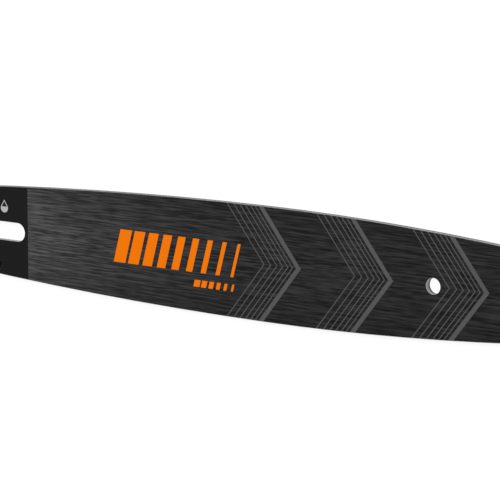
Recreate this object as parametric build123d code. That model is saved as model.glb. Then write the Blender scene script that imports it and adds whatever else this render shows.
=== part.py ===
from build123d import *

import math
import os

# A laminated sprocket-nose guide bar for a chainsaw, lying flat on its clamping face.
# +X runs along the bar to its nose, +Z is up through its thickness, in millimetres.
# The origin is the centre of the stud slot, on the lower face.

# Laminations
SIDE_SHEET = 1.35
GAUGE = 1.6

# Outline, symmetrical about the X axis, and the same on both side plates
TAIL_X = -50.0
TAIL_HALF_HEIGHT = 23.9
TAIL_CORNER_RADIUS = 9.0
BELLY_X = 225.0
BELLY_HALF_HEIGHT = 35.75
NOSE_X = 397.0
NOSE_RADIUS = 28.0
EDGE_BREAK = 0.3

# Chain groove, which is the room that the core leaves between the side plates
GROOVE_DEPTH = 8.0
CORE_TAIL_SETBACK = 1.5
CORE_CORNER_RADIUS = 4.0

# Stud slot, chain tensioner holes, oil inlets and the round hole near the nose
SLOT_LENGTH = 72.0
SLOT_WIDTH = 12.2
TENSION_HOLE_X = -14.0
TENSION_HOLE_Y = 14.0
TENSION_HOLE_DIAMETER = 7.5
OIL_HOLE_X = 14.7
OIL_HOLE_DIAMETER = 5.0
OIL_HOLE_OVER_CORE = 0.5
ROUND_HOLE_X = 344.7
ROUND_HOLE_DIAMETER = 10.0

# Windows in the core, each filled with a polyamide insert
WINDOW_COUNT = 3
WINDOW_START_X = 58.0
WINDOW_END_X = 328.0
WINDOW_WEB = 13.0
WINDOW_RIM = 9.0
WINDOW_CORNER_RADIUS = 7.0
INSERT_CLEARANCE = 0.05

# Nose sprocket for 3/8 inch chain, one tooth to every second rivet of the chain
TOOTH_COUNT = 11
TOOTH_PROJECTION = 1.2
GULLET_DEPTH = 9.0
GULLET_ROOT_RADIUS = 3.2
GULLET_MOUTH_WIDTH = 13.8
SPROCKET_SIDE_CLEARANCE = 0.08
SPROCKET_POCKET_CLEARANCE = 1.0

# Full-complement roller bearing between the hub and the sprocket
HUB_RADIUS = 8.8
ROLLER_DIAMETER = 3.65
ROLLER_COUNT = 18
ROLLER_RADIAL_CLEARANCE = 0.03
ROLLER_SIDE_CLEARANCE = 0.1

# Rivets that clamp the hub between the side plates, ground flush with both faces
RIVET_COUNT = 3
RIVET_CIRCLE_RADIUS = 4.8
RIVET_DIAMETER = 4.0
RIVET_CLEARANCE = 0.02

# Levels of the three laminations
CORE_Z = SIDE_SHEET
UPPER_Z = SIDE_SHEET + GAUGE
TOP_Z = UPPER_Z + SIDE_SHEET

# Radii of the two long arcs of each rail, level at the belly
TAIL_RUN = BELLY_X - TAIL_X
TAIL_RISE = BELLY_HALF_HEIGHT - TAIL_HALF_HEIGHT
TAIL_ARC_RADIUS = (TAIL_RUN**2 + TAIL_RISE**2) / (2 * TAIL_RISE)
NOSE_RUN = NOSE_X - BELLY_X
NOSE_FALL = BELLY_HALF_HEIGHT - NOSE_RADIUS
NOSE_ARC_RADIUS = (NOSE_RUN**2 + BELLY_HALF_HEIGHT**2 - NOSE_RADIUS**2) / (2 * NOSE_FALL)


def rail_height(x, inset):
    """Half-height of the tail-side rail line at x, moved inwards by the inset."""
    radius = TAIL_ARC_RADIUS - inset
    return math.sqrt(radius**2 - (BELLY_X - x) ** 2) - (TAIL_ARC_RADIUS - BELLY_HALF_HEIGHT)


def bar_outline(inset, tail_x, corner_radius):
    """Face of the bar's outline, moved inwards by the inset along the rails and the nose."""
    nose_radius = NOSE_RADIUS - inset
    belly = Vector(BELLY_X, BELLY_HALF_HEIGHT - inset)
    tail = Vector(tail_x, rail_height(tail_x, inset))
    arc_centre = Vector(BELLY_X, BELLY_HALF_HEIGHT - NOSE_ARC_RADIUS)
    nose_centre = Vector(NOSE_X, 0)
    outward = (nose_centre - arc_centre).normalized()
    shoulder = nose_centre + outward * nose_radius
    tip = Vector(NOSE_X + nose_radius, 0)
    with BuildSketch() as sketch:
        with BuildLine():
            TangentArc(belly, tail, tangent=(-1, 0))
            TangentArc(belly, shoulder, tangent=(1, 0))
            ThreePointArc(shoulder, tip, Vector(shoulder.X, -shoulder.Y))
            TangentArc(Vector(belly.X, -belly.Y), Vector(shoulder.X, -shoulder.Y), tangent=(1, 0))
            TangentArc(Vector(belly.X, -belly.Y), Vector(tail.X, -tail.Y), tangent=(-1, 0))
            Line(tail, Vector(tail.X, -tail.Y))
        make_face()
        fillet(sketch.vertices().group_by(Axis.X)[0], corner_radius)
    return sketch.sketch


def plate(face, z, thickness):
    """Flat sheet cut to a face, with its lower side at z."""
    return extrude(Pos(0, 0, z) * face, thickness)


def disc(x, y, diameter, z, thickness):
    """Round solid or cut at (x, y), standing on z."""
    return Pos(x, y, z) * Cylinder(diameter / 2, thickness, align=(Align.CENTER, Align.CENTER, Align.MIN))


def through_cuts():
    """What passes through every lamination: the slot, the tensioner holes and the round hole."""
    slot = plate(SlotOverall(SLOT_LENGTH, SLOT_WIDTH), 0, TOP_Z)
    cuts = [slot, disc(ROUND_HOLE_X, 0, ROUND_HOLE_DIAMETER, 0, TOP_Z)]
    for side in (-1, 1):
        cuts.append(disc(TENSION_HOLE_X, side * TENSION_HOLE_Y, TENSION_HOLE_DIAMETER, 0, TOP_Z))
    return cuts


def rivets(clearance):
    """Straight rivets through the whole bar round the nose's centre, each grown by the clearance."""
    rivet = disc(0, 0, RIVET_DIAMETER + 2 * clearance, 0, TOP_Z)
    places = PolarLocations(RIVET_CIRCLE_RADIUS, RIVET_COUNT)
    return [Pos(NOSE_X, 0, 0) * place * rivet for place in places]


def side_plate():
    """Lower side plate, with its oil inlet over the groove and rivet holes at the nose."""
    sheet = plate(bar_outline(0, TAIL_X, TAIL_CORNER_RADIUS), 0, SIDE_SHEET)
    rim = sheet.faces().sort_by(Axis.Z)[0].outer_wire().edges()
    sheet = chamfer(rim, EDGE_BREAK)
    groove_floor = rail_height(OIL_HOLE_X, GROOVE_DEPTH)
    oil_hole_y = groove_floor - OIL_HOLE_OVER_CORE + OIL_HOLE_DIAMETER / 2
    oil_hole = disc(OIL_HOLE_X, oil_hole_y, OIL_HOLE_DIAMETER, 0, SIDE_SHEET)
    return sheet - through_cuts() - [oil_hole] - rivets(RIVET_CLEARANCE)


def window_faces(clearance):
    """Faces of the core windows, made smaller all round by the clearance."""
    inner = bar_outline(GROOVE_DEPTH + WINDOW_RIM + clearance, TAIL_X, CORE_CORNER_RADIUS)
    span = (WINDOW_END_X - WINDOW_START_X - (WINDOW_COUNT - 1) * WINDOW_WEB) / WINDOW_COUNT
    faces = []
    for index in range(WINDOW_COUNT):
        middle = WINDOW_START_X + span / 2 + index * (span + WINDOW_WEB)
        strip = Pos(middle, 0) * Rectangle(span - 2 * clearance, 4 * BELLY_HALF_HEIGHT)
        window = inner & strip
        ends = window.vertices().group_by(Axis.X)
        corners = [*ends[0], *ends[-1]]
        faces.append(fillet(corners, WINDOW_CORNER_RADIUS - clearance))
    return faces


def core_plate():
    """Middle lamination: the groove's floor, with windows, a sprocket pocket and the same holes."""
    sheet = plate(bar_outline(GROOVE_DEPTH, TAIL_X + CORE_TAIL_SETBACK, CORE_CORNER_RADIUS), CORE_Z, GAUGE)
    pocket_diameter = 2 * (NOSE_RADIUS + TOOTH_PROJECTION + SPROCKET_POCKET_CLEARANCE)
    pocket = disc(NOSE_X, 0, pocket_diameter, CORE_Z, GAUGE)
    windows = [plate(face, CORE_Z, GAUGE) for face in window_faces(0)]
    return sheet - through_cuts() - [pocket] - windows


def core_inserts():
    """One polyamide filling for each window of the core, from the tail to the nose."""
    return [plate(face, CORE_Z, GAUGE) for face in window_faces(INSERT_CLEARANCE)]


def nose_sprocket():
    """Toothed ring that carries the chain round the nose, with the bearing's outer track as its bore."""
    tip_radius = NOSE_RADIUS + TOOTH_PROJECTION
    root_x = tip_radius - GULLET_DEPTH + GULLET_ROOT_RADIUS
    with BuildSketch() as gullet:
        with Locations((root_x, 0)):
            Circle(GULLET_ROOT_RADIUS)
        with BuildLine():
            Line((tip_radius, -GULLET_MOUTH_WIDTH / 2), (tip_radius, GULLET_MOUTH_WIDTH / 2))
        make_hull()
    bore = HUB_RADIUS + ROLLER_DIAMETER + 2 * ROLLER_RADIAL_CLEARANCE
    ring = Circle(tip_radius) - Circle(bore)
    turns = [Rot(0, 0, (index + 0.5) * 360 / TOOTH_COUNT) for index in range(TOOTH_COUNT)]
    star = ring - [turn * gullet.sketch for turn in turns]
    thickness = GAUGE - 2 * SPROCKET_SIDE_CLEARANCE
    return Pos(NOSE_X, 0, 0) * plate(star, CORE_Z + SPROCKET_SIDE_CLEARANCE, thickness)


def nose_hub():
    """Inner track of the bearing, a disc as thick as the core with a hole for each rivet."""
    track = disc(NOSE_X, 0, 2 * HUB_RADIUS, CORE_Z, GAUGE)
    return track - rivets(RIVET_CLEARANCE)


def rollers():
    """Short cylinders that fill the track between the hub and the sprocket."""
    length = GAUGE - 2 * ROLLER_SIDE_CLEARANCE
    z = CORE_Z + ROLLER_SIDE_CLEARANCE
    track = HUB_RADIUS + ROLLER_RADIAL_CLEARANCE + ROLLER_DIAMETER / 2
    roller = disc(0, 0, ROLLER_DIAMETER, z, length)
    return [Pos(NOSE_X, 0, 0) * place * roller for place in PolarLocations(track, ROLLER_COUNT)]


lower_plate = side_plate()
upper_plate = Pos(0, 0, TOP_Z) * Rot(180, 0, 0) * lower_plate
nodes = {
    "side_plate_lower": lower_plate,
    "side_plate_upper": upper_plate,
    "core_plate": core_plate(),
    "nose_sprocket": nose_sprocket(),
    "nose_hub": nose_hub(),
    "hub_rivets": Compound(children=rivets(0)),
}
for number, insert in enumerate(core_inserts(), 1):
    nodes[f"core_insert_{number}"] = insert
for number, roller in enumerate(rollers(), 1):
    nodes[f"roller_{number:02d}"] = roller

os.makedirs("parts", exist_ok=True)
for name, shape in nodes.items():
    export_step(shape, f"parts/{name}.step")
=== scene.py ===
import math

import bmesh
import bpy
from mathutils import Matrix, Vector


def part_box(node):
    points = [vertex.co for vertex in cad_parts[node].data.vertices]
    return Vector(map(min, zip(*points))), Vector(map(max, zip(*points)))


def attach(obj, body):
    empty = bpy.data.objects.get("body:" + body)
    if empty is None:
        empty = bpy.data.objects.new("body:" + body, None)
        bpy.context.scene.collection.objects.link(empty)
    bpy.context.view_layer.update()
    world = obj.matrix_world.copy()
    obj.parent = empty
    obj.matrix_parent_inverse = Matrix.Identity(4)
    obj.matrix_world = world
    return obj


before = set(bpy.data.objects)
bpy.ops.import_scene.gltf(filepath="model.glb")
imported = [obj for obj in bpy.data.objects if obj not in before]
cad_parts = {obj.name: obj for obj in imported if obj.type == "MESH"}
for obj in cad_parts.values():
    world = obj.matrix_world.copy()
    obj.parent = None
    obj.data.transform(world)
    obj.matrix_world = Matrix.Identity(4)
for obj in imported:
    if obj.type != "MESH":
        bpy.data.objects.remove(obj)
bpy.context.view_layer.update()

# Core plate: the middle sheet of the lamination, stamped from bare steel as thick as the chain groove
# and spot welded between the two side plates. Only its edge shows, in the bores and as the oiled
# floor of the groove.

MILLIMETRE = 0.001
NOISE_DETAIL = 2.0
NOISE_ROUGHNESS = 0.55


class Wire:
    """A shader socket that takes part in Python sums, each of which adds a Math node."""

    def __init__(self, finish, socket):
        self.finish = finish
        self.socket = socket

    def maths(self, operation, first, second):
        return self.finish.node("ShaderNodeMath", {"operation": operation}, {0: first, 1: second})

    def __add__(self, other):
        return self.maths("ADD", self, other)

    def __radd__(self, other):
        return self.maths("ADD", other, self)

    def __sub__(self, other):
        return self.maths("SUBTRACT", self, other)

    def __rsub__(self, other):
        return self.maths("SUBTRACT", other, self)

    def __mul__(self, other):
        return self.maths("MULTIPLY", self, other)

    def __rmul__(self, other):
        return self.maths("MULTIPLY", other, self)

    def __truediv__(self, other):
        return self.maths("DIVIDE", self, other)

    def __rtruediv__(self, other):
        return self.maths("DIVIDE", other, self)

    def __pow__(self, other):
        return self.maths("POWER", self, other)

    def __rpow__(self, other):
        return self.maths("POWER", other, self)

    def __gt__(self, other):
        return self.maths("GREATER_THAN", self, other)

    def __lt__(self, other):
        return self.maths("LESS_THAN", self, other)

    def __abs__(self):
        return self.maths("ABSOLUTE", self, 0.0)

    def between(self, low, high):
        """Value that goes from low, where this one is 0, to high, where it is 1."""
        return low + (high - low) * self


class Finish:
    """A material with one Principled shader, whose nodes are added in the piece's own section."""

    def __init__(self, name, **constants):
        self.material = bpy.data.materials.new(name)
        self.material.use_nodes = True
        self.tree = self.material.node_tree
        self.shader = self.tree.nodes["Principled BSDF"]
        self.feed(**constants)
        self.place = self.node("ShaderNodeTexCoord", output="Object")

    def node(self, kind, settings=None, sockets=None, output=0):
        """Adds a node, sets its settings, then its sockets by value or by link, and gives one output."""
        made = self.tree.nodes.new(kind)
        for name, value in (settings or {}).items():
            setattr(made, name, value)
        for name, value in (sockets or {}).items():
            self.join(made.inputs[name], value)
        return Wire(self, made.outputs[output])

    def join(self, socket, value):
        if isinstance(value, Wire):
            self.tree.links.new(value.socket, socket)
        elif socket.type == "RGBA":
            socket.default_value = (*value, 1.0)
        else:
            socket.default_value = value

    def feed(self, **inputs):
        """Sets the shader's own sockets, with _ for a space in their names."""
        for name, value in inputs.items():
            self.join(self.shader.inputs[name.replace("_", " ")], value)

    def part_of(self, vector, axis):
        return self.node("ShaderNodeSeparateXYZ", {}, {0: vector}, output=axis)

    def grain(self, lengths):
        """Noise from 0 to 1 whose grains measure these millimetres along X, Y and Z."""
        stretch = tuple(1 / (length * MILLIMETRE) for length in lengths)
        factors = {0: self.place, 1: stretch}
        stretched = self.node("ShaderNodeVectorMath", {"operation": "MULTIPLY"}, factors)
        sockets = {
            "Vector": stretched,
            "Scale": 1.0,
            "Detail": NOISE_DETAIL,
            "Roughness": NOISE_ROUGHNESS,
        }
        return self.node("ShaderNodeTexNoise", {"noise_dimensions": "3D"}, sockets, output="Fac")

    def ramp(self, value, low, high):
        """Smooth step from 0 at low to 1 at high."""
        limits = {"Value": value, "From Min": low, "From Max": high}
        return self.node("ShaderNodeMapRange", {"interpolation_type": "SMOOTHSTEP"}, limits)

    def blend(self, mask, below, above):
        """Colour that goes from the one below, where the mask is 0, to the one above."""
        sockets = {"Factor": mask, 6: below, 7: above}
        return self.node("ShaderNodeMix", {"data_type": "RGBA"}, sockets, output=2)

    def bump(self, height, depth):
        """Normal of a surface whose height, from 0 to 1, spans this depth in millimetres."""
        return self.node("ShaderNodeBump", {}, {"Height": height, "Distance": depth * MILLIMETRE})

    def dress(self, *nodes):
        """Gives this finish to whole CAD nodes."""
        for name in nodes:
            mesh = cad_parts[name].data
            mesh.materials.clear()
            mesh.materials.append(self.material)


STAMPED_PATCH = (12, 4, 0.4)
STAMPED_DARK = (0.17, 0.167, 0.163)
STAMPED_LIGHT = (0.36, 0.355, 0.35)
STAMPED_SMOOTH = 0.34
STAMPED_ROUGH = 0.59
STAMPED_DEPTH = 0.03

core_steel = Finish("core_steel", Metallic=0.9)
stamped = core_steel.grain(STAMPED_PATCH)
core_steel.feed(
    Base_Color=core_steel.blend(stamped, STAMPED_DARK, STAMPED_LIGHT),
    Roughness=stamped.between(STAMPED_SMOOTH, STAMPED_ROUGH),
    Normal=core_steel.bump(stamped, STAMPED_DEPTH),
)
core_steel.dress("core_plate")


# Core inserts: glass-filled polyamide moulded into the windows of the core to keep the bar light.
# They lie wholly between the side plates.

FIBRE = (1.2, 0.3, 0.3)
FIBRE_DARK = (0.045, 0.045, 0.046)
FIBRE_LIGHT = (0.085, 0.085, 0.083)
FIBRE_SMOOTH = 0.50
FIBRE_ROUGH = 0.65
FIBRE_DEPTH = 0.02

polyamide = Finish("polyamide")
fibres = polyamide.grain(FIBRE)
polyamide.feed(
    Base_Color=polyamide.blend(fibres, FIBRE_DARK, FIBRE_LIGHT),
    Roughness=fibres.between(FIBRE_SMOOTH, FIBRE_ROUGH),
    Normal=polyamide.bump(fibres, FIBRE_DEPTH),
)
polyamide.dress(*[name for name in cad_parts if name.startswith("core_insert_")])


# Nose bearing: a hardened disc riveted between the side plates, and a ring of short rollers that run
# on it under a film of grease.

GREASE_PATCH = (2, 2, 2)
GREASED_STEEL = (0.42, 0.41, 0.39)
CLEAN_STEEL = (0.62, 0.62, 0.63)
GREASED_ROUGHNESS = 0.16
CLEAN_ROUGHNESS = 0.38

bearing_steel = Finish("bearing_steel", Metallic=1.0)
clean = bearing_steel.grain(GREASE_PATCH)
bearing_steel.feed(
    Base_Color=bearing_steel.blend(clean, GREASED_STEEL, CLEAN_STEEL),
    Roughness=clean.between(GREASED_ROUGHNESS, CLEAN_ROUGHNESS),
)
bearing_steel.dress("nose_hub", *[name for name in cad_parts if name.startswith("roller_")])


# Nose sprocket: a star stamped from spring steel, hardened and ground on both sides. It turns on the
# rollers, and its tooth tips stand just out of the nose.

GRINDING_LINE = (0.4, 6, 0.4)
GRINDING_SMOOTH = 0.24
GRINDING_ROUGH = 0.44
GRINDING_DEPTH = 0.01
HEAT_PATCH = (9, 9, 9)
HEAT_DARK = (0.30, 0.29, 0.28)
HEAT_LIGHT = (0.46, 0.455, 0.45)

sprocket_steel = Finish("sprocket_steel", Metallic=1.0)
grinding = sprocket_steel.grain(GRINDING_LINE)
heat = sprocket_steel.grain(HEAT_PATCH)
sprocket_steel.feed(
    Base_Color=sprocket_steel.blend(heat, HEAT_DARK, HEAT_LIGHT),
    Roughness=grinding.between(GRINDING_SMOOTH, GRINDING_ROUGH),
    Normal=sprocket_steel.bump(grinding, GRINDING_DEPTH),
)
sprocket_steel.dress("nose_sprocket")


# Side plates: two sheets of tempered steel under a black coat, satin over the tail where the saw
# clamps the bar, and brushed along its length from there to the nose, with a painted sheen at the tail
# end that fades towards the nose, partly the coat's own deepening black, and painted shade towards the
# rails. The rails, the slot and the bores are ground bare; the lower plate's wall in the round hole is
# painted in the coat's dark, as painted shade deep in the hole.

plate_low, plate_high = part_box("side_plate_upper")
sheet_low, sheet_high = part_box("side_plate_lower")
TOP_Z = plate_high.z
HALF_THICKNESS = (TOP_Z - sheet_low.z) / 2
COAT_DEPTH = 0.05 * MILLIMETRE
COATED_SLOPE = 0.9

coated_steel = Finish("coated_steel", Specular_IOR_Level=0.2)
along = coated_steel.part_of(coated_steel.place, "X")
across = coated_steel.part_of(coated_steel.place, "Y")
level = coated_steel.part_of(coated_steel.place, "Z")
slope = abs(coated_steel.part_of(coated_steel.node("ShaderNodeNewGeometry", output="Normal"), "Z"))
outside = abs(level - HALF_THICKNESS) > HALF_THICKNESS - COAT_DEPTH
face = (slope > COATED_SLOPE) * outside

# The coat lies on the outer faces; the lower plate's wall in the round hole takes the coat's dark as
# painted shade deep in the hole
HOLE_SHADE_FROM_X = 335 * MILLIMETRE
HOLE_SHADE_TO_X = 355 * MILLIMETRE
HOLE_SHADE_HALF_HEIGHT = 8 * MILLIMETRE
beside_hole = (along > HOLE_SHADE_FROM_X) * (along < HOLE_SHADE_TO_X)
# Painted shade deep in the round hole, on the lower plate's wall
hole_shade = beside_hole * (abs(across) < HOLE_SHADE_HALF_HEIGHT) * (level < sheet_high.z)
coat_and_hole_shade = 1 - (1 - face) * (1 - hole_shade)

# Brush strokes of four sizes, which don't change through the thickness
RIGHT_THROUGH = 1000
LONG_STROKE = (50, 1.7, RIGHT_THROUGH)
SHORT_STROKE = (20, 1.0, RIGHT_THROUGH)
HAIR_LINE = (10, 0.55, RIGHT_THROUGH)
FINE_HAIR = (14, 0.13, RIGHT_THROUGH)
STROKE_SHARES = {LONG_STROKE: 0.26, SHORT_STROKE: 0.42, HAIR_LINE: 0.20, FINE_HAIR: 0.12}
STROKE_LOW = 0.41
STROKE_HIGH = 0.61
STROKE_DEPTH = 0.02
stroke_height = sum(share * coated_steel.grain(size) for size, share in STROKE_SHARES.items())
strokes = coated_steel.ramp(stroke_height, STROKE_LOW, STROKE_HIGH)

# Brushed coat, which darkens by halves towards the nose and a little towards the rails: a painted sheen
# at the tail end that fades towards the nose, partly the coat's own deepening black, and painted shade
# towards the rails
BRUSHED_FROM_X = 38.5 * MILLIMETRE
SHEEN_HALVING = 55 * MILLIMETRE
RAIL_SHADE_FROM = 10 * MILLIMETRE
RAIL_SHADE_TO = 38 * MILLIMETRE
RAIL_SHADE = 0.28
NOSE_STROKE_DARK = (0.0025, 0.0025, 0.0026)
NOSE_STROKE_LIGHT = (0.0310, 0.0310, 0.0312)
TAIL_SHEEN_STROKE_DARK = (0.0250, 0.0250, 0.0252)
TAIL_SHEEN_STROKE_LIGHT = (0.1100, 0.1100, 0.1102)
brushed = along > BRUSHED_FROM_X
# Painted sheen that halves towards the nose, partly the coat's own deepening black
sheen_fade = 0.5 ** ((along - BRUSHED_FROM_X) / SHEEN_HALVING)
sheened_stroke_dark = coated_steel.blend(sheen_fade, NOSE_STROKE_DARK, TAIL_SHEEN_STROKE_DARK)
sheened_stroke_light = coated_steel.blend(sheen_fade, NOSE_STROKE_LIGHT, TAIL_SHEEN_STROKE_LIGHT)
# Painted shade towards the rails
rail_shade = RAIL_SHADE * coated_steel.ramp(abs(across), RAIL_SHADE_FROM, RAIL_SHADE_TO)
stroke_colour = coated_steel.blend(strokes, sheened_stroke_dark, sheened_stroke_light)
brushed_colour = coated_steel.blend(rail_shade, stroke_colour, NOSE_STROKE_DARK)

# Satin coat over the tail
SATIN_GRAIN = (0.6, 0.6, 0.6)
SATIN_DARK = (0.0060, 0.0060, 0.0062)
SATIN_LIGHT = (0.0085, 0.0085, 0.0087)
SATIN_BUMP = 0.3
satin = coated_steel.grain(SATIN_GRAIN)
satin_colour = coated_steel.blend(satin, SATIN_DARK, SATIN_LIGHT)

# Bare steel on the edges and inside the groove, whose inner faces are painted dark near the tail:
# painted shade in the groove, partly oil darkening near the inlets
RAIL_GRINDING = (30, 30, 0.25)
BARE_DARK = (0.30, 0.30, 0.303)
BARE_LIGHT = (0.42, 0.42, 0.424)
BARE_METALLIC = 0.85
GROOVE_SHADE_AND_OIL_STEEL = (0.045, 0.043, 0.041)
GROOVE_SHADE_AND_OIL_TO_X = 30 * MILLIMETRE
GROOVE_SHADE_AND_OIL_END_X = 80 * MILLIMETRE
ground = coated_steel.grain(RAIL_GRINDING)
inner_face = (slope > COATED_SLOPE) * (1 - outside)
# Painted shade on the groove's inner faces near the tail, partly oil near the inlets
groove_shade_and_oil = inner_face * (1 - coated_steel.ramp(along, GROOVE_SHADE_AND_OIL_TO_X, GROOVE_SHADE_AND_OIL_END_X))
ground_colour = coated_steel.blend(ground, BARE_DARK, BARE_LIGHT)
bare_colour = coated_steel.blend(groove_shade_and_oil, ground_colour, GROOVE_SHADE_AND_OIL_STEEL)

# Coat and bare steel together
COAT_ROUGHNESS = 0.48
STROKE_ROUGHNESS = 0.38
GROUND_SMOOTH = 0.30
GROUND_ROUGH = 0.50
coat_colour = coated_steel.blend(brushed * face, satin_colour, brushed_colour)
coat_relief = brushed * strokes + (1 - brushed) * SATIN_BUMP * satin
coat_roughness = (brushed * strokes).between(COAT_ROUGHNESS, STROKE_ROUGHNESS)
bare_roughness = ground.between(GROUND_SMOOTH, GROUND_ROUGH)
coated_steel.feed(
    Base_Color=coated_steel.blend(coat_and_hole_shade, bare_colour, coat_colour),
    Metallic=(1 - coat_and_hole_shade) * BARE_METALLIC,
    Roughness=coat_and_hole_shade * coat_roughness + (1 - coat_and_hole_shade) * bare_roughness,
    Normal=coated_steel.bump(face * coat_relief, STROKE_DEPTH),
)
coated_steel.dress("side_plate_lower", "side_plate_upper")


# Hub rivets: soft steel pins that clamp the bearing between the plates, peened over and ground flush
# with both faces.

WHEEL_MARK = (6, 0.25, 1)
WHEEL_MARK_SMOOTH = 0.44
WHEEL_MARK_ROUGH = 0.60
WHEEL_MARK_DEPTH = 0.01
RIVET_DARK = (0.14, 0.14, 0.143)
RIVET_LIGHT = (0.24, 0.24, 0.243)

rivet_steel = Finish("rivet_steel", Metallic=1.0)
wheel_marks = rivet_steel.grain(WHEEL_MARK)
rivet_steel.feed(
    Base_Color=rivet_steel.blend(wheel_marks, RIVET_DARK, RIVET_LIGHT),
    Roughness=wheel_marks.between(WHEEL_MARK_SMOOTH, WHEEL_MARK_ROUGH),
    Normal=rivet_steel.bump(wheel_marks, WHEEL_MARK_DEPTH),
)
rivet_steel.dress("hub_rivets")


# Print: a screen-printed design on the upper face in three inks. Slanted orange bars narrow towards
# the nose, grey chevrons with fine lines behind them point the same way, and a pale oil drop marks
# the side of the oil inlet.

INK_THICKNESS = 0.02 * MILLIMETRE
INK_FILM = (20, 0.9, RIGHT_THROUGH)
INK_SMOOTH = 0.45
INK_ROUGH = 0.57
INK_FILM_DEPTH = 0.006


def ink(name, thick, thin):
    """Matt printing ink, a little thinner where the strokes of the brushed coat stand up."""
    made = Finish(name, Specular_IOR_Level=0.06)
    film = made.grain(INK_FILM)
    made.feed(
        Base_Color=made.blend(film, thin, thick),
        Roughness=film.between(INK_SMOOTH, INK_ROUGH),
        Normal=made.bump(film, INK_FILM_DEPTH),
    )
    return made


def printed(name, outlines, ink_film):
    """Thin closed plates of ink on the upper face, one for each outline of corner points."""
    mesh = bmesh.new()
    for outline in outlines:
        lower = [mesh.verts.new((x, y, TOP_Z)) for x, y in outline]
        upper = [mesh.verts.new((x, y, TOP_Z + INK_THICKNESS)) for x, y in outline]
        mesh.faces.new(upper)
        mesh.faces.new(reversed(lower))
        for index in range(len(outline)):
            after = (index + 1) % len(outline)
            mesh.faces.new((lower[index], lower[after], upper[after], upper[index]))
    bmesh.ops.recalc_face_normals(mesh, faces=mesh.faces)
    data = bpy.data.meshes.new(name)
    mesh.to_mesh(data)
    mesh.free()
    data.materials.append(ink_film.material)
    piece = bpy.data.objects.new(name, data)
    bpy.context.scene.collection.objects.link(piece)
    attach(piece, "bar")


BAR_LEAN = math.tan(math.radians(15))


def slanted_bars(x, y, height, pitch, widths):
    """Corners of a row of bars, centred on y, that lean towards the nose."""
    half = height / 2
    for index, width in enumerate(widths):
        left = x + index * pitch
        yield [
            (left - half * BAR_LEAN, y - half),
            (left + width - half * BAR_LEAN, y - half),
            (left + width + half * BAR_LEAN, y + half),
            (left + half * BAR_LEAN, y + half),
        ]


def narrowing(count, first, last):
    """Widths in metres that go in even steps from the first to the last, given in millimetres."""
    return [(first + (last - first) * index / (count - 1)) * MILLIMETRE for index in range(count)]


ORANGE = (0.90, 0.19, 0.001)
ORANGE_THIN = (0.86, 0.175, 0.001)
BIG_BARS_X = 111 * MILLIMETRE
BIG_BARS_HEIGHT = 21.2 * MILLIMETRE
BIG_BARS_PITCH = 11.3 * MILLIMETRE
BIG_BARS_WIDTHS = narrowing(count=9, first=9.2, last=2.2)
SMALL_BARS_X = 171 * MILLIMETRE
SMALL_BARS_Y = -17.4 * MILLIMETRE
SMALL_BARS_HEIGHT = 4.4 * MILLIMETRE
SMALL_BARS_PITCH = 5.7 * MILLIMETRE
SMALL_BARS_WIDTHS = narrowing(count=6, first=4.6, last=1.6)
orange_bars = [
    *slanted_bars(BIG_BARS_X, 0, BIG_BARS_HEIGHT, BIG_BARS_PITCH, BIG_BARS_WIDTHS),
    *slanted_bars(SMALL_BARS_X, SMALL_BARS_Y, SMALL_BARS_HEIGHT, SMALL_BARS_PITCH, SMALL_BARS_WIDTHS),
]
printed("orange_bars", orange_bars, ink("orange_ink", ORANGE, ORANGE_THIN))

RAIL_MARGIN = 0.5 * MILLIMETRE
BELLY_X = 225 * MILLIMETRE
BELLY_HALF_HEIGHT = plate_high.y
TAIL_HALF_HEIGHT = 23.9 * MILLIMETRE
NOSE_RADIUS = 28 * MILLIMETRE
NOSE_X = plate_high.x - NOSE_RADIUS
TAIL_RUN = BELLY_X - plate_low.x
TAIL_RISE = BELLY_HALF_HEIGHT - TAIL_HALF_HEIGHT
TAIL_ARC = (TAIL_RUN**2 + TAIL_RISE**2) / (2 * TAIL_RISE)
NOSE_RUN = NOSE_X - BELLY_X
NOSE_FALL = BELLY_HALF_HEIGHT - NOSE_RADIUS
NOSE_ARC = (NOSE_RUN**2 + BELLY_HALF_HEIGHT**2 - NOSE_RADIUS**2) / (2 * NOSE_FALL)


def rail_height(x):
    """Half the printable height of the bar at x, which follows its two long arcs."""
    radius = TAIL_ARC if x < BELLY_X else NOSE_ARC
    return math.sqrt(radius**2 - (x - BELLY_X) ** 2) - radius + BELLY_HALF_HEIGHT - RAIL_MARGIN


CHEVRON_LEAN = math.tan(math.radians(38))
REACH_ROUNDS = 20


def reach(tip):
    """Height at which an arm that leans back from its tip on the centreline meets the rail."""
    height = BELLY_HALF_HEIGHT
    for _ in range(REACH_ROUNDS):
        height = rail_height(tip - height * CHEVRON_LEAN)
    return height


def chevron(tip, stroke):
    """Corners of one chevron whose arms run from the centreline to both rails."""
    front = reach(tip)
    back = reach(tip - stroke)
    return [
        (tip, 0),
        (tip - front * CHEVRON_LEAN, front),
        (tip - stroke - back * CHEVRON_LEAN, back),
        (tip - stroke, 0),
        (tip - stroke - back * CHEVRON_LEAN, -back),
        (tip - front * CHEVRON_LEAN, -front),
    ]


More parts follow.
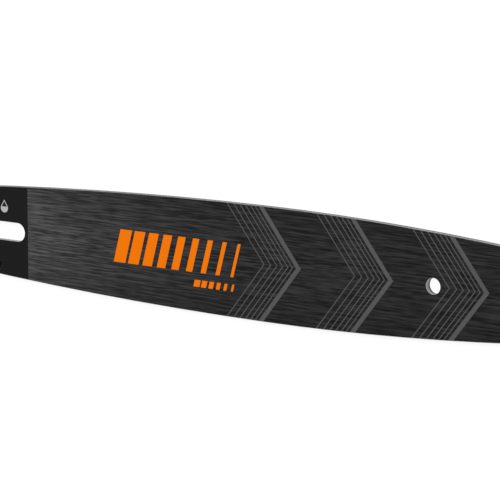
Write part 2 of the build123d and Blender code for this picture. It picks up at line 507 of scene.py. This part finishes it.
GREY = (0.098, 0.098, 0.098)
GREY_THIN = (0.085, 0.085, 0.085)
CHEVRON_TIPS = [251 * MILLIMETRE, 317 * MILLIMETRE, 383 * MILLIMETRE]
CHEVRON_STROKE = 3.6 * MILLIMETRE
FINE_STROKE = 0.8 * MILLIMETRE
FINE_COUNT = 6
FINE_FIRST_GAP = 2.2 * MILLIMETRE
FINE_GAP_GROWTH = 0.4 * MILLIMETRE
chevrons = []
for tip in CHEVRON_TIPS:
    chevrons.append(chevron(tip, CHEVRON_STROKE))
    fine_tip = tip - CHEVRON_STROKE
    for index in range(FINE_COUNT):
        fine_tip -= FINE_FIRST_GAP + index * FINE_GAP_GROWTH
        chevrons.append(chevron(fine_tip, FINE_STROKE))
        fine_tip -= FINE_STROKE
printed("grey_chevrons", chevrons, ink("grey_ink", GREY, GREY_THIN))

PALE = (0.50, 0.50, 0.50)
PALE_THIN = (0.40, 0.40, 0.40)
DROP_X = 19.2 * MILLIMETRE
DROP_Y = 15.0 * MILLIMETRE
DROP_RADIUS = 3.0 * MILLIMETRE
DROP_APEX = 5.4 * MILLIMETRE
DROP_STROKE = 0.6 * MILLIMETRE
OIL_LEVEL = 0.9 * MILLIMETRE
DROP_ARC_STEPS = 16
DROP_SHOULDER = math.asin(DROP_RADIUS / DROP_APEX)


def drop_arc(radius, start, end):
    """Points on a circle about the middle of the drop's round end, between two angles."""
    turns = [start + (end - start) * index / DROP_ARC_STEPS for index in range(DROP_ARC_STEPS + 1)]
    return [(DROP_X + radius * math.cos(turn), DROP_Y + radius * math.sin(turn)) for turn in turns]


def drop_side(radius):
    """Points over the top of a drop, from the oil's level on the left by its apex to the right."""
    apex = (DROP_X, DROP_Y + radius * DROP_APEX / DROP_RADIUS)
    rim = math.asin(OIL_LEVEL / radius)
    left = drop_arc(radius, math.pi - rim, math.pi - DROP_SHOULDER)
    right = drop_arc(radius, DROP_SHOULDER, rim)
    return [*left, apex, *right]


oil_rim = math.asin(OIL_LEVEL / DROP_RADIUS)
oil_fill = drop_arc(DROP_RADIUS, oil_rim, -math.pi - oil_rim)
drop_wall = [*drop_side(DROP_RADIUS), *reversed(drop_side(DROP_RADIUS - DROP_STROKE))]
printed("oil_drop", [oil_fill, drop_wall], ink("pale_ink", PALE, PALE_THIN))


# Studio: a white sweep under the bar, a soft box above it, and the camera at the photograph's angle,
# looking down on the bar as it lies.

FLOOR_HALF = 6.0
FLOOR_CORNERS = [(-1, -1), (1, -1), (1, 1), (-1, 1)]
FLOOR_OWN_WHITE = 0.85
FLOOR_GLOW = 1.05
PAPER_WHITE = (0.9, 0.9, 0.9)
PAPER_ROUGHNESS = 0.9
LIGHT_WHITE = (1.0, 1.0, 1.0)
ANY_RAY = 0.5
floor_mesh = bpy.data.meshes.new("floor")
floor_points = [(x * FLOOR_HALF, y * FLOOR_HALF, 0) for x, y in FLOOR_CORNERS]
floor_mesh.from_pydata(floor_points, [], [(0, 1, 2, 3)])
floor = bpy.data.objects.new("floor", floor_mesh)
bpy.context.scene.collection.objects.link(floor)
paper = Finish("paper", Base_Color=PAPER_WHITE, Roughness=PAPER_ROUGHNESS)
rays = [
    paper.node("ShaderNodeLightPath", output=kind)
    for kind in ("Is Camera Ray", "Is Glossy Ray", "Is Transmission Ray")
]
seen = sum(rays) > ANY_RAY
glow = paper.node("ShaderNodeEmission", {}, {"Color": LIGHT_WHITE, "Strength": FLOOR_GLOW})
shown = paper.node("ShaderNodeMixShader", {}, {
    0: seen * FLOOR_OWN_WHITE,
    1: Wire(paper, paper.shader.outputs[0]),
    2: glow,
})
paper.tree.links.new(shown.socket, paper.tree.nodes["Material Output"].inputs["Surface"])
floor_mesh.materials.append(paper.material)

WORLD_STRENGTH = 0.22
world = bpy.data.worlds.new("studio")
bpy.context.scene.world = world
world.use_nodes = True
background = world.node_tree.nodes["Background"]
background.inputs["Color"].default_value = (*LIGHT_WHITE, 1.0)
background.inputs["Strength"].default_value = WORLD_STRENGTH

KEY_PLACE = (0.15, 0.85, 1.35)
KEY_SIZE = 0.9
KEY_POWER = 25.5
key = bpy.data.lights.new("key", "AREA")
key.size = KEY_SIZE
key.energy = KEY_POWER
key_holder = bpy.data.objects.new("key", key)
key_holder.location = KEY_PLACE
bar_middle = (plate_low + plate_high) / 2
key_holder.rotation_euler = (bar_middle - key_holder.location).to_track_quat("-Z", "Y").to_euler()
bpy.context.scene.collection.objects.link(key_holder)

CAMERA_PLACE = (1.2690, 0.3388, 1.4938)
CAMERA_TURN = (-10.26, 35.33, 0.03)
CAMERA_LENS = 219.3
CAMERA_SENSOR = 36
camera = bpy.data.cameras.new("camera")
camera.lens = CAMERA_LENS
camera.sensor_width = CAMERA_SENSOR
camera_holder = bpy.data.objects.new("camera", camera)
camera_holder.location = CAMERA_PLACE
camera_holder.rotation_euler = [math.radians(angle) for angle in CAMERA_TURN]
bpy.context.scene.collection.objects.link(camera_holder)
bpy.context.scene.camera = camera_holder
bpy.context.scene.view_settings.view_transform = "Standard"
